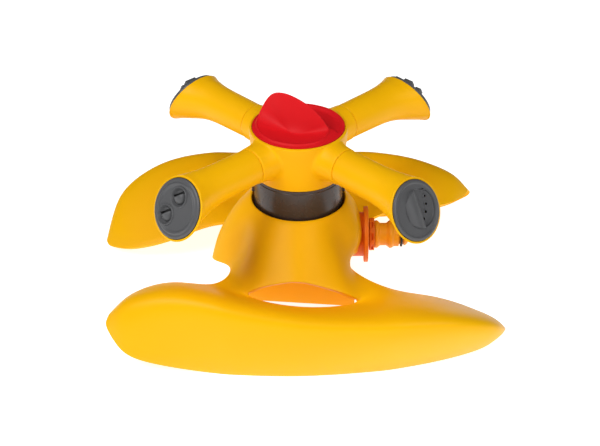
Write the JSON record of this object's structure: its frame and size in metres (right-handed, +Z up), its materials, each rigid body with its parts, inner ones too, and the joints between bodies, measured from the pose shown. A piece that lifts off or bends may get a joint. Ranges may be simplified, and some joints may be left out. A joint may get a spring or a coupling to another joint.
{
  "type": "rotary lawn sprinkler",
  "caption": "Rotary lawn sprinkler: a swept sledge base with a side hose inlet carries a spinning head of hollow arms with nozzle caps and a turning spray selector on top.",
  "frame": {"origin": "on the ground under the rotor's axis, at the middle of the base", "axes": "+Z up along the rotor's axis, +X out of the hose inlet, -Y towards the front wing"},
  "size_m": [0.2928, 0.2364, 0.1615],
  "materials": {
    "yellow": "satin, warm yellow",
    "inner_yellow": "satin, deeper yellow",
    "orange": "soft gloss",
    "amber": "soft gloss",
    "grey": "satin",
    "dark": "gloss",
    "red": "satin",
    "natural": "slippery bearing plastic",
    "rubber": "matte",
    "steel": "bright"
  },
  "bodies": {
    "base": {"base_shell": "yellow", "pipe_cover": "inner_yellow", "inlet_flange": "orange", "inlet_nut": "orange", "inlet_tail": "amber", "inlet_seal": "rubber", "water_elbow": "grey", "spindle": "grey", "flange_screw_1": "steel", "flange_screw_2": "steel", "flange_screw_3": "steel", "flange_screw_4": "steel", "thrust_washer": "natural", "spindle_clip": "steel"},
    "rotor": {"bearing_bush": "natural", "collar": "dark", "spindle_seal": "rubber", "rotor_hub": "yellow", "arm_front_left": "yellow", "arm_front_right": "yellow", "arm_back_right": "yellow", "arm_back_left": "yellow", "nozzle_twin_slot": "grey", "nozzle_shower": "grey", "nozzle_castle": "grey", "nozzle_stepped": "grey", "nozzle_seal_1": "rubber", "nozzle_seal_2": "rubber", "nozzle_seal_3": "rubber", "nozzle_seal_4": "rubber", "distributor": "grey", "valve_seat": "rubber"},
    "selector": {"selector_knob": "red", "valve_disc": "natural", "stem_seal": "rubber"}
  },
  "joints": [
    {"name": "rotor_spin", "type": "hinge", "parent": "base", "child": "rotor", "pos_m": [0, 0, 0.09], "axis": [0, 0, 1], "continuous": true},
    {"name": "selector_turn", "type": "hinge", "parent": "rotor", "child": "selector", "pos_m": [0, 0, 0.138], "axis": [0, 0, 1], "continuous": true}
  ]
}
